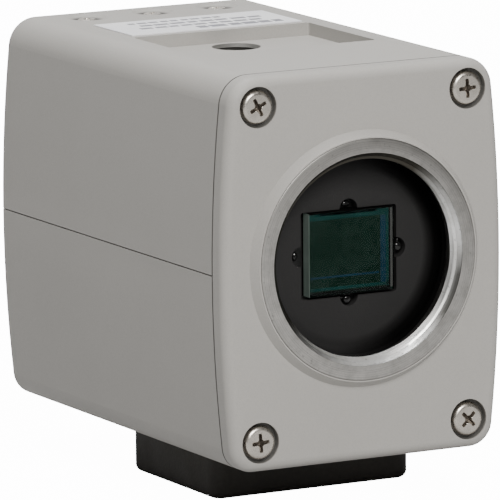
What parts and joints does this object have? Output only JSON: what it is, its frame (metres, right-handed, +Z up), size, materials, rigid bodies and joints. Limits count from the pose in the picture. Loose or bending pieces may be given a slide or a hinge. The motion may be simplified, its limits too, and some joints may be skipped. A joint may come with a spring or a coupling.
{
  "type": "cooled astronomy camera",
  "caption": "Box-shaped cooled video-astronomy camera with a threaded lens mount in front, a tripod foot below and thread on top, and fan grille, buttons and sockets behind.",
  "frame": {"origin": "bottom centre of the whole part, on the tripod foot's underside", "axes": "the lens looks along -Y, +Z is up, +X is to the right when the lens mount faces the viewer"},
  "size_m": [0.0392, 0.0714, 0.055],
  "materials": {
    "aluminium": "extruded",
    "black_aluminium": "black anodised",
    "black_plastic": "black moulding",
    "brass_nickel": "nickel-plated",
    "button_plastic": "dark grey",
    "case_paint": "fine-textured light warm grey paint",
    "cast_frame": "cast",
    "ceramic": "unglazed white",
    "chip_plastic": "black epoxy",
    "circuit_board": "green solder mask",
    "clear_glass": "clear",
    "copper": "enamelled copper",
    "film": "amber polyimide film",
    "filter_glass": "coated, dark green",
    "foot_plastic": "black, fine grain",
    "glue": "glossy black adhesive",
    "gold_pin": "gold-plated",
    "label_foil": "silver foil",
    "lens_plastic": "translucent green",
    "mask_rubber": "matt black",
    "mount_metal": "turned, satin",
    "panel_paint": "light warm grey paint",
    "screw_steel": "nickel-plated",
    "silicon": "polished",
    "white_plastic": "white"
  },
  "bodies": {
    "camera_body": {"bezel_screws": "screw_steel", "board_posts": "brass_nickel", "board_screws": "screw_steel", "button_board": "circuit_board", "button_switches": "black_plastic", "chamber_gasket": "mask_rubber", "cold_finger": "aluminium", "cooler_cold_plate": "ceramic", "cooler_hot_plate": "ceramic", "cooler_pellets": "silicon", "fan_bearing": "brass_nickel", "fan_frame": "black_plastic", "fan_motor_coil": "copper", "fan_screws": "screw_steel", "filter_glass": "filter_glass", "filter_glue_dots": "glue", "filter_holder": "black_aluminium", "foot_screws": "screw_steel", "foot_thread_bush": "brass_nickel", "frame_screws": "screw_steel", "front_bezel": "case_paint", "heat_sink": "aluminium", "lens_mount_ring": "mount_metal", "lower_shell": "case_paint", "main_board": "circuit_board", "main_chips": "chip_plastic", "mount_screws": "screw_steel", "power_jack": "black_plastic", "power_parts": "chip_plastic", "power_pin": "brass_nickel", "rating_label": "label_foil", "rear_panel": "panel_paint", "rear_panel_screws": "screw_steel", "remote_jack": "black_plastic", "remote_nut": "brass_nickel", "sensor_board": "circuit_board", "sensor_cover_glass": "clear_glass", "sensor_die": "silicon", "sensor_frame": "cast_frame", "sensor_mask": "mask_rubber", "sensor_package": "ceramic", "sensor_pins": "gold_pin", "sensor_ribbon": "film", "sink_posts": "brass_nickel", "sink_screws": "screw_steel", "status_light": "lens_plastic", "top_screws": "screw_steel", "top_thread_bush": "brass_nickel", "tripod_foot": "foot_plastic", "upper_shell": "case_paint", "video_connector": "brass_nickel", "video_contact": "gold_pin", "video_insulator": "white_plastic", "video_nut": "brass_nickel", "video_washer": "brass_nickel"},
    "fan_rotor_body": {"fan_rotor": "black_plastic", "fan_shaft": "screw_steel"},
    "menu_button_left_body": {"menu_button_left": "button_plastic"},
    "menu_button_middle_body": {"menu_button_middle": "button_plastic"},
    "menu_button_right_body": {"menu_button_right": "button_plastic"}
  },
  "joints": [
    {"name": "fan_spin", "type": "hinge", "parent": "camera_body", "child": "fan_rotor_body", "pos_m": [0, 0.0181, 0.0382], "axis": [0, 1, 0], "continuous": true},
    {"name": "menu_button_left_press", "type": "slide", "parent": "camera_body", "child": "menu_button_left_body", "axis": [0, -1, 0], "range_m": [0, 0.0005], "stiffness_N_per_m": 600, "springref_m": -0.0005},
    {"name": "menu_button_middle_press", "type": "slide", "parent": "camera_body", "child": "menu_button_middle_body", "axis": [0, -1, 0], "range_m": [0, 0.0005], "stiffness_N_per_m": 600, "springref_m": -0.0005},
    {"name": "menu_button_right_press", "type": "slide", "parent": "camera_body", "child": "menu_button_right_body", "axis": [0, -1, 0], "range_m": [0, 0.0005], "stiffness_N_per_m": 600, "springref_m": -0.0005}
  ]
}
